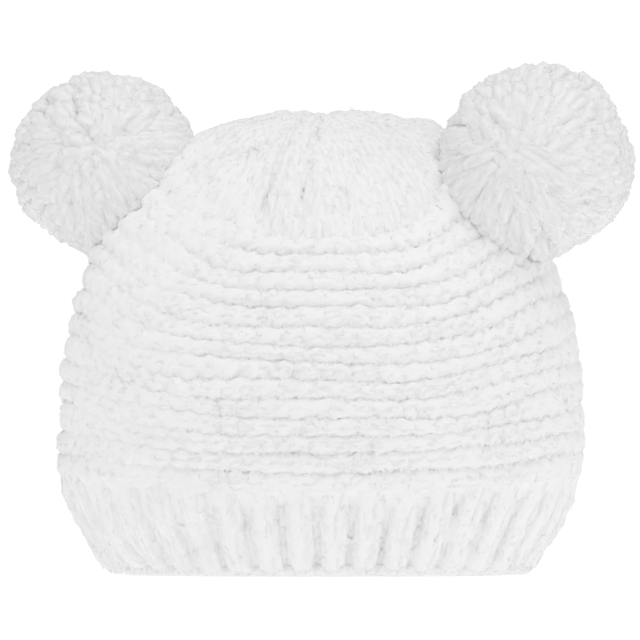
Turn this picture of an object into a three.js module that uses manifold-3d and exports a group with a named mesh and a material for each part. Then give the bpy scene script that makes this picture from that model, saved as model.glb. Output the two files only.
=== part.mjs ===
// A double pom-pom hat for a young child, hand-knitted from one thick soft yarn.
//
// It stands open on its ribbed brim. From the brim up there are fourteen garter
// ridges, which bow down at the front and the back, and then a gathered crown.
// A round pompom is tied on at each shoulder.
//
// Millimetres, +Z up. The front faces -Y, and left and right are as seen from
// the front. The origin is on the surface it stands on, under the middle.

import * as THREE from 'three';
import { mergeVertices } from 'three/addons/utils/BufferGeometryUtils.js';
import Module from 'manifold-3d';

const wasm = await Module();
wasm.setup();

// ---------------------------------------------------------------- the form

const HAT_HEIGHT = 175.5; // the edge of the brim to the top of the crown

// The outline seen from the front: widest just above the brim, drawn in by the
// ribbing below that, and rounded over broad shoulders above it.
const WIDTH = { half: 100.3, widestAt: 47, drawnIn: 20, flare: 1.75, shoulder: 2.5 };
// The outline seen from the side, which rounds over more narrowly.
const DEPTH = { half: 75, widestAt: 55, drawnIn: 13, flare: 1.75, shoulder: 1.8 };

const SECTION_POWER = 2.3; // 2 would make each round an ellipse, and more is boxier

// Heights where one kind of knitting ends and the next begins. Each round runs
// higher at the sides than at the front and the back.
const BRIM_TOP = { side: 36, front: 33 };
const RIDGE_COUNT = 14;
const RIDGE_PITCH = { side: 9.08, front: 6.85 };
const BODY_TOP = {
  side: BRIM_TOP.side + RIDGE_COUNT * RIDGE_PITCH.side,
  front: BRIM_TOP.front + RIDGE_COUNT * RIDGE_PITCH.front,
};
const BOW = { brim: 2.4, crown: 4 }; // how sharply a round rises towards the sides

const GAP = 0.3; // between neighbouring pieces

// ------------------------------------------------------------ the knitting

const BRIM = { wall: 7.5, ribs: 40, pointsPerRib: 3, ribDepth: 2.2, rounds: 4, innerRounds: 2 };
const BODY = { wall: 8, ridgeDepth: 2.2, innerRounds: 9 };
const CROWN = { wall: 7, inset: 1, pleats: 22, pleatDepth: 3.2, rounds: 8, innerRounds: 4 };
const CROWN_DIP = { depth: 3, reach: 0.16 }; // where the last stitches are cinched
const ROUND_POINTS = 2 * CROWN.pleats; // round the body and the crown

// Each ridge is a flat-topped roll: the offsets are shares of the ridge depth.
const RIDGE_PROFILE = [
  { share: 0, rise: 0 },
  { share: 0.3, rise: 1 },
  { share: 0.7, rise: 1 },
];

// ------------------------------------------------------------ the pompoms

// Where each pompom is tied on: the share of the body's height at the side, and
// the angle round the hat, where 0 is the right side and -90 degrees the front.
const POMPOMS = [
  { side: 'left', radius: 36.2, angle: 174, level: 0.88, standOff: 16.6 },
  { side: 'right', radius: 37.4, angle: -12, level: 0.885, standOff: 18.2 },
];
const LOCKS = { count: 64, tipRadius: 8, uneven: 1.6, shuffle: 12.9898, ballShare: 0.84, detail: 8 };
// The hat's own space, which they keep clear of, starts well below them.
const ENVELOPE = { from: 0.3, bodyRounds: 20, clearance: 0.6 };
const TIE = { radius: 2.2, clearance: 0.4, intoPompom: 9, slack: 1.8 };
const KNOT = { radius: 4.6, length: 7 };

const KNITTED_WHITE = 0xf2f1ee;
const POMPOM_WHITE = 0xeeedea;

const UP = new THREE.Vector3(0, 1, 0); // the axis of three.js's turned shapes
const { lerp } = THREE.MathUtils;

// --------------------------------------------------------------- outlines

/** Half the size of the hat at height z, from one of the two outlines. */
function halfSizeAt(outline, z) {
  if (z < outline.widestAt) {
    return outline.half - outline.drawnIn * (1 - z / outline.widestAt) ** outline.flare;
  }
  const climb = Math.min(1, (z - outline.widestAt) / (HAT_HEIGHT - outline.widestAt));
  return outline.half * (1 - climb ** outline.shoulder) ** (1 / outline.shoulder);
}

/** The height on the rounded upper part of an outline where it has this half size. */
function heightAt(outline, halfSize) {
  const share = Math.min(1, halfSize / outline.half);
  const climb = (1 - share ** outline.shoulder) ** (1 / outline.shoulder);
  return outline.widestAt + climb * (HAT_HEIGHT - outline.widestAt);
}

// ----------------------------------------------------------------- rounds

/** The round of knitting that has these heights at the sides and at the front. */
function roundAt(sideZ, frontZ, bow) {
  return {
    sideZ,
    frontZ,
    bow,
    halfWidth: halfSizeAt(WIDTH, sideZ),
    halfDepth: halfSizeAt(DEPTH, frontZ),
  };
}

const brimRound = (t) => roundAt(t * BRIM_TOP.side, t * BRIM_TOP.front, BOW.brim);

const bodyRound = (t) =>
  roundAt(
    lerp(BRIM_TOP.side, BODY_TOP.side, t),
    lerp(BRIM_TOP.front, BODY_TOP.front, t),
    lerp(BOW.brim, BOW.crown, t),
  );

/** A round of the crown: t is 0 at the last ridge and 1 where it is cinched. */
function crownRound(t) {
  const edge = bodyRound(1);
  const halfWidth = edge.halfWidth * (1 - t);
  const halfDepth = edge.halfDepth * (1 - t);
  const dip = CROWN_DIP.depth * Math.exp(-(((1 - t) / CROWN_DIP.reach) ** 2));
  return {
    halfWidth,
    halfDepth,
    bow: BOW.crown,
    sideZ: heightAt(WIDTH, halfWidth) - dip,
    frontZ: heightAt(DEPTH, halfDepth) - dip,
  };
}

function pointOn(round, angle) {
  const across = Math.abs(Math.cos(angle)) ** (2 / SECTION_POWER);
  const through = Math.abs(Math.sin(angle)) ** (2 / SECTION_POWER);
  return new THREE.Vector3(
    round.halfWidth * Math.sign(Math.cos(angle)) * across,
    round.halfDepth * Math.sign(Math.sin(angle)) * through,
    round.frontZ + (round.sideZ - round.frontZ) * across ** round.bow,
  );
}

/** The outward normal of the form that the rounds of roundOf make. */
function normalOn(roundOf, t, angle) {
  const step = 1e-3;
  const [below, above] = [Math.max(0, t - step), Math.min(1, t + step)];
  const along = pointOn(roundOf(t), angle + step).sub(pointOn(roundOf(t), angle - step));
  const up = pointOn(roundOf(above), angle).sub(pointOn(roundOf(below), angle));
  return along.cross(up).normalize();
}

/** The angles that cut a round into `count` equal lengths, starting at the right side. */
function evenAngles(round, count) {
  const fine = 1440;
  const lengths = [0];
  for (let i = 1; i <= fine; i += 1) {
    const here = pointOn(round, (i / fine) * 2 * Math.PI);
    const before = pointOn(round, ((i - 1) / fine) * 2 * Math.PI);
    lengths.push(lengths[i - 1] + here.distanceTo(before));
  }
  const angles = [];
  let i = 0;
  for (let k = 0; k < count; k += 1) {
    const wanted = (k / count) * lengths[fine];
    while (lengths[i + 1] < wanted) i += 1;
    const share = (wanted - lengths[i]) / (lengths[i + 1] - lengths[i]);
    angles.push(((i + share) / fine) * 2 * Math.PI);
  }
  return angles;
}

/**
 * One ring of points round the hat. offsetAt gives how far each point stands
 * outside the form, and lift raises the whole ring.
 */
function ring(roundOf, t, angles, offsetAt, lift = 0) {
  return angles.map((angle, k) =>
    pointOn(roundOf(t), angle)
      .addScaledVector(normalOn(roundOf, t, angle), offsetAt(k))
      .add(new THREE.Vector3(0, 0, lift)),
  );
}

// --------------------------------------------------------------- skinning

/**
 * A closed surface through rings of equal size. Between poles it starts and ends
 * in a fan round a single point, and without them the last ring joins the first.
 */
function skin(rings, poles = null) {
  const size = rings[0].length;
  const points = rings.flat();
  const index = [];
  const pairs = poles ? rings.length - 1 : rings.length;
  for (let r = 0; r < pairs; r += 1) {
    const lower = r * size;
    const upper = ((r + 1) % rings.length) * size;
    for (let k = 0; k < size; k += 1) {
      const next = (k + 1) % size;
      index.push(lower + k, lower + next, upper + next, lower + k, upper + next, upper + k);
    }
  }
  if (poles) {
    const last = (rings.length - 1) * size;
    const [start, end] = [points.length, points.length + 1];
    points.push(...poles);
    for (let k = 0; k < size; k += 1) {
      const next = (k + 1) % size;
      index.push(start, next, k, end, last + k, last + next);
    }
  }
  const geometry = new THREE.BufferGeometry().setFromPoints(points);
  geometry.setIndex(index);
  return geometry;
}

const range = (count) => Array.from({ length: count }, (_, i) => i);
const shares = (count) => range(count + 1).map((i) => i / count);

// --------------------------------------------------------------- booleans

function toSolid(geometry) {
  const bare = geometry.index ? geometry.toNonIndexed() : geometry.clone();
  bare.deleteAttribute('normal');
  bare.deleteAttribute('uv');
  const merged = mergeVertices(bare, 1e-4);
  return new wasm.Manifold(
    new wasm.Mesh({
      numProp: 3,
      vertProperties: merged.attributes.position.array,
      triVerts: new Uint32Array(merged.index.array),
    }),
  );
}

function toGeometry(solid) {
  const mesh = solid.getMesh();
  const geometry = new THREE.BufferGeometry();
  geometry.setAttribute('position', new THREE.BufferAttribute(mesh.vertProperties, 3));
  geometry.setIndex(new THREE.BufferAttribute(mesh.triVerts, 1));
  return geometry;
}

// -------------------------------------------------------------- the pieces

/** The knit-one purl-one band: each rib stands out on one face and in on the other. */
function brimGeometry() {
  const angles = evenAngles(brimRound(0.5), BRIM.ribs * BRIM.pointsPerRib);
  const ribRise = (k) => (1 + Math.cos((k / BRIM.pointsPerRib) * 2 * Math.PI)) / 2;
  const outer = (k) => BRIM.ribDepth * (ribRise(k) - 1);
  const inner = (k) => BRIM.ribDepth * ribRise(k) - BRIM.wall;
  const outside = shares(BRIM.rounds).map((t) => ring(brimRound, t, angles, outer));
  const inside = shares(BRIM.innerRounds).map((t) => ring(brimRound, 1 - t, angles, inner));
  [...outside[0], ...inside.at(-1)].forEach((point) => point.setZ(0)); // the edge stands flat
  return skin([...outside, ...inside]);
}

/** The garter-stitch body: a stack of soft rolls with a smoother face inside. */
function bodyGeometry(angles) {
  const levels = range(RIDGE_COUNT).flatMap((r) =>
    RIDGE_PROFILE.map(({ share, rise }) => ({ t: (r + share) / RIDGE_COUNT, rise })),
  );
  levels.push({ t: 1, rise: 0 });
  const outside = levels.map(({ t, rise }) =>
    ring(bodyRound, t, angles, () => BODY.ridgeDepth * (rise - 1), GAP * (1 - t)),
  );
  const inside = shares(BODY.innerRounds).map((t) =>
    ring(bodyRound, 1 - t, angles, () => -BODY.wall, GAP * t),
  );
  return skin([...outside, ...inside]);
}

/** The crown: pleats that run in to the dip where the last stitches are cinched. */
function crownGeometry(angles) {
  const pleatAt = (t) => CROWN.pleatDepth * Math.sin(Math.PI * Math.sqrt(1 - t)) ** 0.5;
  const outer = (t) => (k) => -CROWN.inset - (k % 2) * pleatAt(t);
  const open = (count) => shares(count).slice(0, -1); // all but the cinched middle
  const outside = open(CROWN.rounds).map((t) => ring(crownRound, t, angles, outer(t), GAP));
  const inside = open(CROWN.innerRounds)
    .map((t) => ring(crownRound, t, angles, () => -CROWN.wall, GAP))
    .reverse();
  const top = crownRound(1).sideZ + GAP;
  const poles = [CROWN.wall, CROWN.inset].map((depth) => new THREE.Vector3(0, 0, top - depth));
  return skin([...inside, ...outside], poles);
}

/** The space the knitted hat takes at the shoulders, which dents the pompoms. */
function shoulderEnvelope(angles) {
  const clear = () => ENVELOPE.clearance;
  const levels = shares(ENVELOPE.bodyRounds).map((share) => lerp(ENVELOPE.from, 1, share));
  const body = levels.map((t) => ring(bodyRound, t, angles, clear));
  const crown = shares(CROWN.rounds)
    .slice(1, -1)
    .map((t) => ring(crownRound, t, angles, clear));
  const base = new THREE.Vector3(0, 0, bodyRound(ENVELOPE.from).frontZ);
  const top = new THREE.Vector3(0, 0, HAT_HEIGHT + GAP);
  return toSolid(skin([...body, ...crown], [base, top]));
}

/** The spot on the hat where a pompom is tied, and the way it points from there. */
function anchorOf({ angle, level }) {
  const radians = THREE.MathUtils.degToRad(angle);
  const point = pointOn(bodyRound(level), radians);
  return { point, outward: normalOn(bodyRound, level, radians) };
}

/** The locks of a ball, spread evenly by the golden angle, no two quite as long. */
function locksOf(radius) {
  const turn = Math.PI * (3 - Math.sqrt(5));
  return range(LOCKS.count).map((i) => {
    const height = 1 - (2 * i + 1) / LOCKS.count;
    const across = Math.sqrt(1 - height ** 2);
    return {
      along: new THREE.Vector3(across * Math.cos(i * turn), across * Math.sin(i * turn), height),
      length: radius - LOCKS.uneven * (0.5 + 0.5 * Math.sin(i * LOCKS.shuffle)),
    };
  });
}

/** How far the locks and the ball they are fused to reach from its middle in one direction. */
function reachOf(locks, ballRadius, direction) {
  const reaches = locks.map(({ along, length }) => {
    const tipCentre = length - LOCKS.tipRadius;
    const cosine = direction.dot(along);
    const inside = LOCKS.tipRadius ** 2 - tipCentre ** 2 * (1 - cosine ** 2);
    return cosine > 0 && inside > 0 ? tipCentre * cosine + Math.sqrt(inside) : 0;
  });
  return Math.max(ballRadius, ...reaches);
}

/** A pompom: round-ended locks fused to a ball, dented by the shoulder under it. */
function pompomGeometry(pompom, envelope) {
  const { point, outward } = anchorOf(pompom);
  const centre = point.clone().addScaledVector(outward, pompom.standOff);
  const locks = locksOf(pompom.radius);
  const ball = new THREE.IcosahedronGeometry(1, LOCKS.detail);
  const positions = ball.attributes.position;
  for (let i = 0; i < positions.count; i += 1) {
    const direction = new THREE.Vector3().fromBufferAttribute(positions, i).normalize();
    const reach = reachOf(locks, pompom.radius * LOCKS.ballShare, direction);
    const surface = direction.multiplyScalar(reach).add(centre);
    positions.setXYZ(i, surface.x, surface.y, surface.z);
  }
  return toGeometry(toSolid(ball).subtract(envelope).subtract(tieHole(pompom)));
}

// -------------------------------------------------------------- the ties

/** A turned shape moved so that its axis runs out of the hat through the anchor. */
function throughAnchor(geometry, pompom, distance) {
  const { point, outward } = anchorOf(pompom);
  geometry.applyQuaternion(new THREE.Quaternion().setFromUnitVectors(UP, outward));
  return geometry.translate(...point.clone().addScaledVector(outward, distance).toArray());
}

/** The hole that the tie leaves in the knitting and in the ball. */
function tieHole(pompom) {
  const radius = TIE.radius + TIE.clearance;
  const outer = TIE.intoPompom + 1;
  const length = outer + BODY.wall + TIE.slack;
  const hole = new THREE.CylinderGeometry(radius, radius, length, 8);
  return toSolid(throughAnchor(hole, pompom, outer - length / 2));
}

/** The yarn that holds a pompom: a short cord with a knot inside the hat. */
function tieGeometry(pompom) {
  const knotTop = -(BODY.wall + TIE.slack);
  const profile = [
    [0, knotTop - KNOT.length],
    [KNOT.radius * 0.7, knotTop - KNOT.length * 0.85],
    [KNOT.radius, knotTop - KNOT.length * 0.5],
    [KNOT.radius * 0.7, knotTop - KNOT.length * 0.1],
    [TIE.radius, knotTop],
    [TIE.radius, TIE.intoPompom],
    [0, TIE.intoPompom],
  ].map(([r, h]) => new THREE.Vector2(r, h));
  return throughAnchor(new THREE.LatheGeometry(profile, 10), pompom, 0);
}

// ------------------------------------------------------------ the assembly

const knitted = new THREE.MeshStandardMaterial({ color: KNITTED_WHITE, roughness: 0.95 });
const fluffy = new THREE.MeshStandardMaterial({ color: POMPOM_WHITE, roughness: 1 });

function piece(name, geometry, material) {
  const mesh = new THREE.Mesh(geometry, material);
  mesh.name = name;
  return mesh;
}

const roundAngles = evenAngles(bodyRound(1), ROUND_POINTS);
const envelope = shoulderEnvelope(roundAngles);
const tieHoles = POMPOMS.map(tieHole);
const body = tieHoles.reduce(
  (solid, hole) => solid.subtract(hole),
  toSolid(bodyGeometry(roundAngles)),
);

const hat = new THREE.Group();
hat.add(piece('ribbed_brim', brimGeometry(), knitted));
hat.add(piece('garter_body', toGeometry(body), knitted));
hat.add(piece('gathered_crown', crownGeometry(roundAngles), knitted));
for (const pompom of POMPOMS) {
  hat.add(piece(`${pompom.side}_pompom`, pompomGeometry(pompom, envelope), fluffy));
  hat.add(piece(`${pompom.side}_tie`, tieGeometry(pompom), knitted));
}

export default hat;
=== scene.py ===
"""Dresses a young child's double pom-pom hat in its knitting and its plush yarn.

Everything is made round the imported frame, in metres, with +Z up and the front of the hat
facing -Y. The hat is knitted here as it is in wool: each row of the ribbed brim, the garter
body and the gathered crown is one long strand of looped yarn, laid along the hat's own form.
"""

from __future__ import annotations

import logging
import math
from collections.abc import Callable
from dataclasses import dataclass, field
from enum import Enum

import bpy
import numpy as np
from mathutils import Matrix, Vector, noise
from mathutils.kdtree import KDTree

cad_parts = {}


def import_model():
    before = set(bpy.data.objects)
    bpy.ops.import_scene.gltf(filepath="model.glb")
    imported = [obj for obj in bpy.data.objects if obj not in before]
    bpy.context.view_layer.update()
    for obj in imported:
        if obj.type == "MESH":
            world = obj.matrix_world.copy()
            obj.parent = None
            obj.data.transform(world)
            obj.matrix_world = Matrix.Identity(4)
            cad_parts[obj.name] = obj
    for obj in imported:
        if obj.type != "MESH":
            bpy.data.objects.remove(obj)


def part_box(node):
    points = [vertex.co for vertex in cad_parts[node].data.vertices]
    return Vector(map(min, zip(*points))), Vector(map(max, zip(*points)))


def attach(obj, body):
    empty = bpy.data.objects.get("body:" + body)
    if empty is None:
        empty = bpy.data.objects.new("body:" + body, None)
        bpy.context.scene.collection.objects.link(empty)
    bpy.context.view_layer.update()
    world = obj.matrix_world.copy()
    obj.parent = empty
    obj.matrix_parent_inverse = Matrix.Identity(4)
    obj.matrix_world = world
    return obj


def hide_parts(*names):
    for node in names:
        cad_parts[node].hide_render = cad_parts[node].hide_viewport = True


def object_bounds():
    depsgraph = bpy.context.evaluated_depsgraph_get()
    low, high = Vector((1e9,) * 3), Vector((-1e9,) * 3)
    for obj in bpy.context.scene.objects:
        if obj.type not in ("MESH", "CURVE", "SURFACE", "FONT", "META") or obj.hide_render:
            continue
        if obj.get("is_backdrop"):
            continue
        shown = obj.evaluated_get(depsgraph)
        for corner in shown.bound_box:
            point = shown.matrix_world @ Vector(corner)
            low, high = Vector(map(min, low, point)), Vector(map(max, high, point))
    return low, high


LOG = logging.getLogger("hat")
Array = np.ndarray
MM = 0.001
TURN = 2 * math.pi
LUMP_WAVES = (14, 80, 14.0)
STIPPLE_WAVES = (24, 110, 34.0)
GOLDEN_TURN = math.pi * (3 - math.sqrt(5))
TINY = 1e-12


def grey(value: float) -> tuple[float, float, float, float]:
    """Gives a grey as a colour with no transparency."""
    return value, value, value, 1.0


def rising(distance: Array, width: float) -> Array:
    """Gives a share that rises from 0 to 1 over a width, and stays at 1 beyond it."""
    return np.clip(distance / width, 0, 1)


def bell(distance: Array, spread: float) -> Array:
    """Gives 1 at no distance, and less and less away from there."""
    return np.exp(-((distance / spread) ** 2))


def unit(vectors: Array) -> Array:
    """Gives vectors of length 1 that point the same way."""
    return vectors / np.linalg.norm(vectors, axis=-1, keepdims=True)


def half_turned(angle: Array) -> Array:
    """Brings angles to between half a turn back and half a turn on."""
    return (angle + math.pi) % TURN - math.pi


# ---------------------------------------------------------------- the form


@dataclass(frozen=True)
class Outline:
    """One outline of the hat, as seen from the front or from the side.

    It is widest a little above the brim, drawn in by the ribbing below that, and rounded
    over to the top above it.
    """

    half: float
    widest_at: float
    drawn_in: float
    shoulder: float
    top: float
    flare: float = 1.75

    def half_size(self, z: Array) -> Array:
        """Gives half the size of the hat at a height.

        Args:
            z: The heights.

        Returns:
            Half the size at each of them.
        """
        below = np.clip(1 - z / self.widest_at, 0, None)
        climb = np.clip((z - self.widest_at) / (self.top - self.widest_at), 0, 1)
        rounded = self.half * (1 - climb**self.shoulder) ** (1 / self.shoulder)
        return np.where(z < self.widest_at, self.half - self.drawn_in * below**self.flare, rounded)

    def height(self, half_size: Array) -> Array:
        """Gives the height on the rounded part at which the outline has a half size.

        Args:
            half_size: The half sizes.

        Returns:
            The height that belongs to each of them.
        """
        share = np.clip(half_size / self.half, 0, 1)
        climb = (1 - share**self.shoulder) ** (1 / self.shoulder)
        return self.widest_at + climb * (self.top - self.widest_at)


@dataclass(frozen=True)
class Round:
    """One round of knitting: its half sizes, and its heights at the sides and the front."""

    half_width: Array
    half_depth: Array
    side_z: Array
    front_z: Array
    bow: Array


class Zone(Enum):
    """The three kinds of knitting, from the edge of the brim up to the cinched middle."""

    BRIM = "brim"
    BODY = "body"
    CROWN = "crown"


@dataclass(frozen=True)
class Bump:
    """A smooth local change: where its middle is, how far it spreads, and how much it adds."""

    middle: float
    spread: float
    size: float


@dataclass(frozen=True)
class HatForm:
    """The smooth form that the knitting follows, where a share t runs up each zone.

    Its lumps raise the top at places across, and its leans shift it sideways at heights.
    """

    width: Outline
    depth: Outline
    brim_side: float
    brim_front: float
    body_side: float
    body_front: float
    section_power: float = 2.3
    brim_bow: float = 2.4
    crown_bow: float = 4.0
    dip: float = 2.4 * MM
    dip_reach: float = 0.14
    lumps_from: float = 0.75
    lumps_over: float = 0.2
    angle_steps: int = 1441
    length_steps: int = 721
    last_share: float = 0.9999
    step: float = 2e-3
    lumps: tuple[Bump, ...] = (
        Bump(4 * MM, 22 * MM, 1.5 * MM),
        Bump(43 * MM, 15 * MM, 2.6 * MM),
    )
    leans: tuple[Bump, ...] = (
        Bump(18 * MM, 24 * MM, -1.0 * MM),
        Bump(56 * MM, 9 * MM, 0.8 * MM),
    )

    @classmethod
    def from_frame(cls) -> HatForm:
        """Reads the form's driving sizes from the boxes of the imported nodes.

        Returns:
            The form.
        """
        body_high, crown_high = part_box("garter_body")[1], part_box("gathered_crown")[1]
        over_crown = 1.3 * MM
        top = crown_high[2] + over_crown
        width = Outline(
            half=body_high[0], widest_at=40 * MM, drawn_in=20 * MM, shoulder=2.5, top=top, flare=1.4
        )
        depth = Outline(
            half=body_high[1], widest_at=55 * MM, drawn_in=13 * MM, shoulder=1.8, top=top
        )
        return cls(
            width,
            depth,
            brim_side=37.5 * MM,
            brim_front=31.5 * MM,
            body_side=163.1 * MM,
            body_front=128.9 * MM,
        )

    def round_at(self, zone: Zone, t: Array) -> Round:
        """Gives the rounds that lie at shares of the way up a zone.

        Args:
            zone: The zone.
            t: The shares.

        Returns:
            The sizes and the heights of the rounds.
        """
        t = np.asarray(t, float)
        if zone is Zone.CROWN:
            return self._crown_round(t)
        if zone is Zone.BRIM:
            side, front = t * self.brim_side, t * self.brim_front
            bow = np.full(t.shape, self.brim_bow)
        else:
            side = self.brim_side + t * (self.body_side - self.brim_side)
            front = self.brim_front + t * (self.body_front - self.brim_front)
            bow = self.brim_bow + t * (self.crown_bow - self.brim_bow)
        return Round(self.width.half_size(side), self.depth.half_size(front), side, front, bow)

    def _crown_round(self, t: Array) -> Round:
        """Draws the last round of the body in to the dip where the hat is cinched.

        Args:
            t: The shares of the way up the crown.

        Returns:
            The sizes and the heights of the rounds.
        """
        left = np.clip(1 - t, 0, None)
        half_width = self.width.half_size(np.float64(self.body_side)) * left
        half_depth = self.depth.half_size(np.float64(self.body_front)) * left
        dip = self.dip * bell(left, self.dip_reach)
        side = self.width.height(half_width) - dip
        front = self.depth.height(half_depth) - dip
        return Round(half_width, half_depth, side, front, np.full(t.shape, self.crown_bow))

    def points(self, zone: Zone, t: Array, angle: Array) -> Array:
        """Gives points on the form, at shares up a zone and angles round it.

        Args:
            zone: The zone.
            t: The shares of the way up the zone.
            angle: The angles round the hat.

        Returns:
            The points.
        """
        ring = self.round_at(zone, t)
        across = np.abs(np.cos(angle)) ** (2 / self.section_power)
        through = np.abs(np.sin(angle)) ** (2 / self.section_power)
        x = ring.half_width * np.sign(np.cos(angle)) * across
        y = ring.half_depth * np.sign(np.sin(angle)) * through
        z = ring.front_z + (ring.side_z - ring.front_z) * across**ring.bow
        high = rising(z - self.lumps_from * self.width.top, self.lumps_over * self.width.top)
        for bump in self.lumps:
            z = z + bump.size * high * bell(x - bump.middle, bump.spread)
        for bump in self.leans:
            x = x + bump.size * bell(z - bump.middle, bump.spread)
        return np.stack([x, y, z], -1)

    def normals(self, zone: Zone, t: Array, angle: Array) -> Array:
        """Gives the outward normals at the same places.

        Args:
            zone: The zone.
            t: The shares of the way up the zone.
            angle: The angles round the hat.

        Returns:
            A unit vector for each place.
        """
        step = self.step
        along = self.points(zone, t, angle + step) - self.points(zone, t, angle - step)
        lower = self.points(zone, t - step, angle)
        above = t + step if zone is not Zone.CROWN else np.minimum(t + step, 1)
        upper = self.points(zone, above, angle)
        normal = np.cross(along, upper - lower)
        return normal / np.maximum(np.linalg.norm(normal, axis=-1, keepdims=True), TINY)

    def place(self, zone: Zone, t: Array, angle: Array, out: Array) -> Array:
        """Gives points that stand a distance outside the form."""
        t, angle, out = np.broadcast_arrays(t, angle, out)
        return self.points(zone, t, angle) + self.normals(zone, t, angle) * out[..., None]

    def angles(self, zone: Zone, t: float, shares: Array) -> Array:
        """Turns shares of a round's length, from the right side, into angles.

        Args:
            zone: The zone.
            t: The share of the way up the zone at which the round lies.
            shares: The shares of its length, which may be over 1.

        Returns:
            The angle of each share.
        """
        fine = np.linspace(0, TURN, self.angle_steps)
        points = self.points(zone, np.full(fine.shape, t), fine)
        lengths = np.concatenate([[0], np.cumsum(np.linalg.norm(np.diff(points, axis=0), axis=1))])
        whole = np.floor(shares)
        return whole * TURN + np.interp(shares - whole, lengths / lengths[-1], fine)

    def shares(self, zone: Zone, t: float, angle: Array) -> Array:
        """Turns angles into shares of a round's length.

        Args:
            zone: The zone.
            t: The share of the way up the zone at which the round lies.
            angle: The angles, from 0 to a whole turn.

        Returns:
            The share that each angle lies at.
        """
        fine = np.linspace(0, TURN, self.angle_steps)
        angles = self.angles(zone, t, np.linspace(0, self.last_share, self.angle_steps))
        return np.interp(angle, angles, fine / TURN)

    def length(self, zone: Zone, t: float) -> float:
        """Gives the length of a round.

        Args:
            zone: The zone.
            t: The share of the way up the zone.

        Returns:
            The length in metres.
        """
        angle = np.linspace(0, TURN, self.length_steps)
        points = self.points(zone, np.full(angle.shape, t), angle)
        return float(np.linalg.norm(np.diff(points, axis=0), axis=1).sum())


# ---------------------------------------------------------------- the yarn


@dataclass
class Yarn:
    """Turns paths into soft strands of yarn: curves with a round section, made meshes."""

    radius: float
    roundness: int = 1
    closed: bool = True

    def lay(
        self, name: str, paths: list[Array], plump: list[Array] | None = None
    ) -> bpy.types.Object:
        """Lays strands of yarn along paths.

        Args:
            name: The name of the piece.
            paths: The points of each strand.
            plump: How thick the yarn is at each point, as a share of its radius.

        Returns:
            One mesh that holds every strand.
        """
        curve = bpy.data.curves.new(name, "CURVE")
        curve.dimensions = "3D"
        curve.bevel_depth = self.radius
        curve.bevel_resolution = self.roundness
        curve.use_fill_caps = not self.closed
        for i, path in enumerate(paths):
            spline = curve.splines.new("POLY")
            spline.points.add(len(path) - 1)
            spline.points.foreach_set("co", np.c_[path, np.ones(len(path))].ravel())
            spline.use_cyclic_u = self.closed
            if plump is not None:
                spline.points.foreach_set("radius", plump[i])
        piece = bpy.data.objects.new(name, curve)
        bpy.context.scene.collection.objects.link(piece)
        select_only(piece)
        bpy.ops.object.convert(target="MESH")
        piece = bpy.context.object
        piece.name = piece.data.name = name
        return piece


def select_only(piece: bpy.types.Object) -> None:
    """Selects one object and makes it the active one.

    Args:
        piece: The object.
    """
    bpy.ops.object.select_all(action="DESELECT")
    piece.select_set(True)
    bpy.context.view_layer.objects.active = piece


def drift_at(place: Array, seed: int, apart: float = 31.7) -> Array:
    """Gives a smooth random direction and strength at a place, the same on every run."""
    return np.array([noise.noise(Vector(place + seed + apart * axis)) for axis in range(3)])


def wander(
    rng: np.random.Generator, count: int, every: int, size: float, fewest: int = 4
) -> Array:
    """Gives a smooth closed line of small random values, as in work done by hand.

    Args:
        rng: The source of the random values.
        count: How many values the line has.
        every: How many values lie between one random knot and the next.
        size: The spread of the values.
        fewest: The fewest knots that a line has.

    Returns:
        The values.
    """
    knots = rng.normal(0, size, max(fewest, count // every))
    at = np.arange(count) / count * len(knots)
    low = np.floor(at).astype(int)
    blend = (1 - np.cos((at - low) * math.pi)) / 2
    return knots[low % len(knots)] * (1 - blend) + knots[(low + 1) % len(knots)] * blend


@dataclass
class Unevenness:
    """A smooth drift over the hat, as in knitting that has been worn, stuffed and laid down."""

    seed: int
    size: float
    waves: int = 9
    most_round: int = 9
    most_up: float = 5.0
    least_up: float = 0.5

    def at(self, angle: Array, t: Array) -> Array:
        """Gives the drift at places on a zone.

        Args:
            angle: The angles round the hat.
            t: How far up the places are.

        Returns:
            The drift at each place.
        """
        rng = np.random.default_rng(self.seed)
        total = np.zeros(np.broadcast(angle, t).shape)
        for _ in range(self.waves):
            around = rng.integers(1, self.most_round + 1) * rng.choice([-1, 1])
            up = rng.uniform(self.least_up, self.most_up)
            total += np.sin(around * angle + up * TURN * t + rng.uniform(0, TURN))
        return total * self.size / math.sqrt(self.waves / 2)


class Stitch(Enum):
    """The ways a row of loops stands in the fabric, seen from outside."""

    GARTER_LOWER = "knit row under a ridge, which runs from the back to the front"
    GARTER_UPPER = "purl row over a ridge, which runs from the front to the back"
    SMOOTH = "knit row whose legs stand in front as a line of Vs"
    RIB = "knit and purl in turn, which stand in front and behind"


@dataclass(frozen=True)
class Loops:
    """The shape of one row's loops, in shares of a stitch and of a row."""

    height: float
    lean: float
    depth: float
    samples: int = 10

    def trace(self, stitch: Stitch, count: int) -> tuple[Array, Array, Array]:
        """Traces a row of loops.

        Args:
            stitch: How the loops stand.
            count: The number of stitches.

        Returns:
            The place along the row in stitches, the rise in rows, and the depth in metres.
        """
        at = np.arange(count * self.samples) / self.samples
        turn = (at % 1) * TURN
        along = at + self.lean * np.sin(2 * turn)
        rise = -self.height * np.cos(turn)
        if stitch is Stitch.GARTER_LOWER:
            out = -self.depth * np.cos(turn)
        elif stitch is Stitch.GARTER_UPPER:
            out = self.depth * np.cos(turn)
        elif stitch is Stitch.SMOOTH:
            out = -self.depth * np.cos(2 * turn)
        else:
            side = np.where(np.floor(at) % 2 == 0, 1.0, -1.0)
            out = side * self.depth * (1 - np.cos(2 * turn)) / 2
        return along, rise, out


# ------------------------------------------------------------- the knitting


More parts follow.
